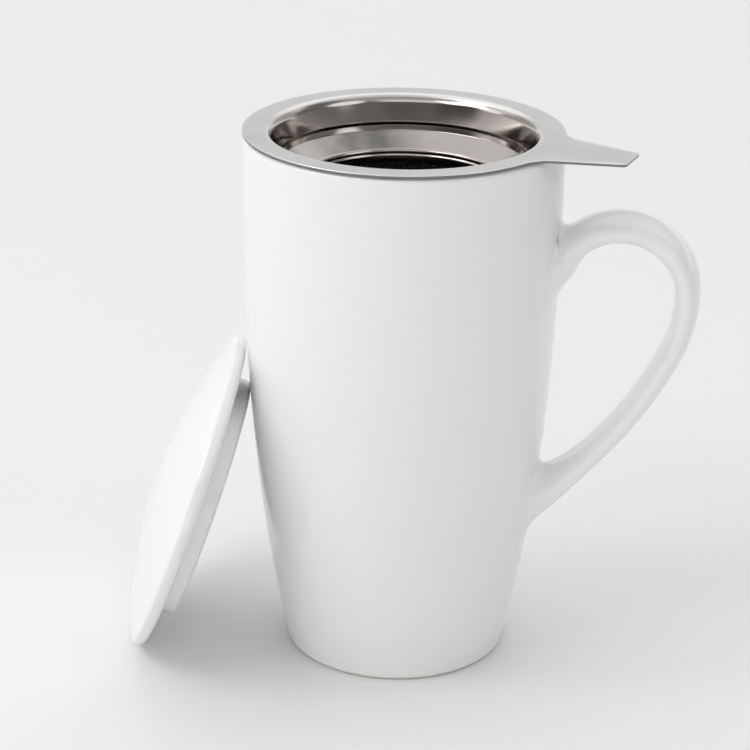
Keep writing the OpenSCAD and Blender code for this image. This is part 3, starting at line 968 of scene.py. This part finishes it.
# %% The cap's border and its turned-up wall
jagged = jagged_edges(bm)
rim = bmesh.ops.create_circle(bm, segments=CAP_STEPS, radius=flat_r)["verts"]
edge = list({e for v in rim for e in v.link_edges})
bmesh.ops.triangle_fill(bm, edges=jagged + edge, use_beauty=True, normal=(0, 0, 1))
for x, z in arc((flat_r, CAP_BEND), CAP_BEND, -75, 0, 5) + [(cap_out, CAP_H)]:
    drawn = bmesh.ops.extrude_edge_only(bm, edges=edge)["geom"]
    for v in verts_in(drawn):
        v.co.x, v.co.y = v.co.xy.normalized() * x
        v.co.z = z
    edge = [g for g in drawn if isinstance(g, bmesh.types.BMEdge)
            and all(abs(v.co.z - z) < 1e-6 for v in g.verts)]
bmesh.ops.translate(bm, vec=(0, 0, base_z), verts=bm.verts)
outwards(bm, Vector((0, 0, base_z + 20)))
cap = finish_piece(bm, "basket_cap", "infuser", basket_steel,
                   ["infuser_base"], closed=False)
sheet_thickness(cap, SHEET_T)

# %% [markdown]
# ## Floor, light and camera
# A plain pale floor runs on past the edge of the view. Its colour is painted paler
# further away and to the left, which is painted light. A soft key light stands to the
# left of the camera, and a pale room fills the rest. A room of one tone would be
# simpler, but polished steel mirrors all of it and would look like grey paint. So the
# room is built in
# bands: low down it is pale, above that come walls that are darker behind the camera,
# then pale screens, then a ceiling. Two round screens give the steel collar a highlight
# on either side.

# %% Floor
NEAR_TONES = (0.84, 0.84, 0.837, 1), (0.86, 0.86, 0.857, 1)
FAR_PAINTED_LIGHT_TONE, FAR_WAY, FAR_AT = (0.955, 0.955, 0.952, 1), (-0.3, 1.0, 0.0), 1.6
FLOOR_ROUGH, FLOOR_SIZE, FLOOR_PATCHES = 0.55, 6, 3.0

floor_paint, tree, shader, where = material("floor paint", Roughness=FLOOR_ROUGH)
# Paler further away and to the left: painted light in the floor's colour.
far = tree.ramp(tree.vector("DOT_PRODUCT", where, FAR_WAY), 0.0, FAR_AT)
near_tone = tree.mix(tree.noise(where, FLOOR_PATCHES, 2.0), *NEAR_TONES)
tree.put(tree.mix(far, near_tone, FAR_PAINTED_LIGHT_TONE), shader["Base Color"])
bm = bmesh.new()
bmesh.ops.create_grid(bm, x_segments=1, y_segments=1, size=FLOOR_SIZE)
mesh = bpy.data.meshes.new("floor")
bm.to_mesh(mesh)
bm.free()
mesh.materials.append(floor_paint)
floor = bpy.data.objects.new("floor", mesh)
bpy.context.scene.collection.objects.link(floor)
print("floor m", [round(v) for v in floor.dimensions])

# %% The room's directions
world = bpy.data.worlds.new("pale room")
bpy.context.scene.world = world
world.use_nodes = True
room = Tree(world.node_tree)
way = room.add("ShaderNodeTexCoord").outputs["Generated"]
up = room.height(way)


def toward(azimuth, elevation):
    """The direction of an azimuth and an elevation, both in degrees."""
    a, e = math.radians(azimuth), math.radians(elevation)
    return (math.cos(a) * math.cos(e), math.sin(a) * math.cos(e), math.sin(e))


def side(azimuth, start, end):
    """A soft half of the room: 1 towards an azimuth, 0 away from it."""
    return room.ramp(room.vector("DOT_PRODUCT", way, toward(azimuth, 0)), start, end)


def lobe(azimuth, elevation, start, end):
    """A soft round screen: 1 in its middle, 0 outside."""
    facing = room.vector("DOT_PRODUCT", way, toward(azimuth, elevation))
    return room.ramp(facing, math.cos(math.radians(start)), math.cos(math.radians(end)))


def above(elevation, soft=4):
    """The room above an elevation, with a soft lower edge."""
    start, end = (math.sin(math.radians(elevation + e)) for e in (-soft, soft))
    return room.ramp(up, start, end)


left, right, behind = side(180, 0.2, 0.5), side(0, 0.3, 0.6), side(120, -0.10, 0.15)
behind_left = side(180, -0.2, 0.3)
print("direction nodes", len(room.nodes))


# %% The room's bands of light
def band_tone(at_left, at_camera, at_right, at_back):
    """A band's tone on the left, at the camera's end, on the right and at the back."""
    near = room.blend(right, room.blend(left, at_camera, at_left), at_right)
    return room.blend(behind, near, at_back)


ROOM_STRENGTH = 0.985
WALLS_FROM, SCREENS_FROM, CEILING_FROM = 9, 29, 50  # elevations in degrees
ROUND_SCREENS = ((-23, 33, 19, 12), 1.6), ((-168, 28, 15, 9), 1.7)

low = band_tone(2.0, 2.0, 0.4, 1.1)
walls = band_tone(0.07, 0.17, 0.23, room.blend(behind_left, 0.64, 0.58))
screens = band_tone(0.1, 1.2, 0.25, 1.18)
ceiling = band_tone(0.62, 0.62, 0.62, 1.18)
tone = room.blend(above(WALLS_FROM), low, walls)
tone = room.blend(above(SCREENS_FROM), tone, screens)
tone = room.blend(above(CEILING_FROM), tone, ceiling)
for place, brightness in ROUND_SCREENS:
    tone = room.blend(lobe(*place), tone, brightness)
back = room.nodes["Background"]
back.inputs["Strength"].default_value = ROOM_STRENGTH
grey = room.add("ShaderNodeCombineColor", {0: tone, 1: tone, 2: tone}).outputs[0]
room.put(grey, back.inputs["Color"])
print("room nodes", len(room.nodes))

# %% Key light
KEY_FROM, KEY_AWAY, KEY_UP, KEY_AIM = (-144, 46), 1.5, 0.05, 0.07
KEY_W, KEY_H, KEY_WATTS = 1.0, 0.55, 6.0

key = bpy.data.objects.new("key light", bpy.data.lights.new("key light", "AREA"))
bpy.context.scene.collection.objects.link(key)
key.data.shape, key.data.size, key.data.size_y = "RECTANGLE", KEY_W, KEY_H
key.data.energy = KEY_WATTS
key.location = Vector(toward(*KEY_FROM)) * KEY_AWAY + Vector((0, 0, KEY_UP))
key.rotation_mode = "QUATERNION"
aim = Vector((0, 0, KEY_AIM)) - key.location
key.rotation_quaternion = aim.to_track_quat("-Z", "Y")
print("key light at m", [round(v, 2) for v in key.location], "watts", KEY_WATTS)

# %% Camera and colour management
CAMERA_AT = (0.0939, -0.5930, 0.3180)
CAMERA_TURN, CAMERA_DOWN, CAMERA_ROLL = 9.644, 21.746, 0.849
SENSOR_W, LENS, CLIP = 36.0, 112.37, (0.05, 50.0)

camera = bpy.data.objects.new("camera", bpy.data.cameras.new("camera"))
bpy.context.scene.collection.objects.link(camera)
camera.data.sensor_width, camera.data.lens = SENSOR_W, LENS
camera.data.clip_start, camera.data.clip_end = CLIP
camera.matrix_world = (
    Matrix.Translation(CAMERA_AT)
    @ Matrix.Rotation(math.radians(CAMERA_TURN), 4, "Z")
    @ Matrix.Rotation(math.radians(90 - CAMERA_DOWN), 4, "X")
    @ Matrix.Rotation(math.radians(CAMERA_ROLL), 4, "Z")
)
bpy.context.scene.camera = camera
bpy.context.scene.view_settings.view_transform = "Standard"
print("camera at m", CAMERA_AT, "lens mm", LENS)
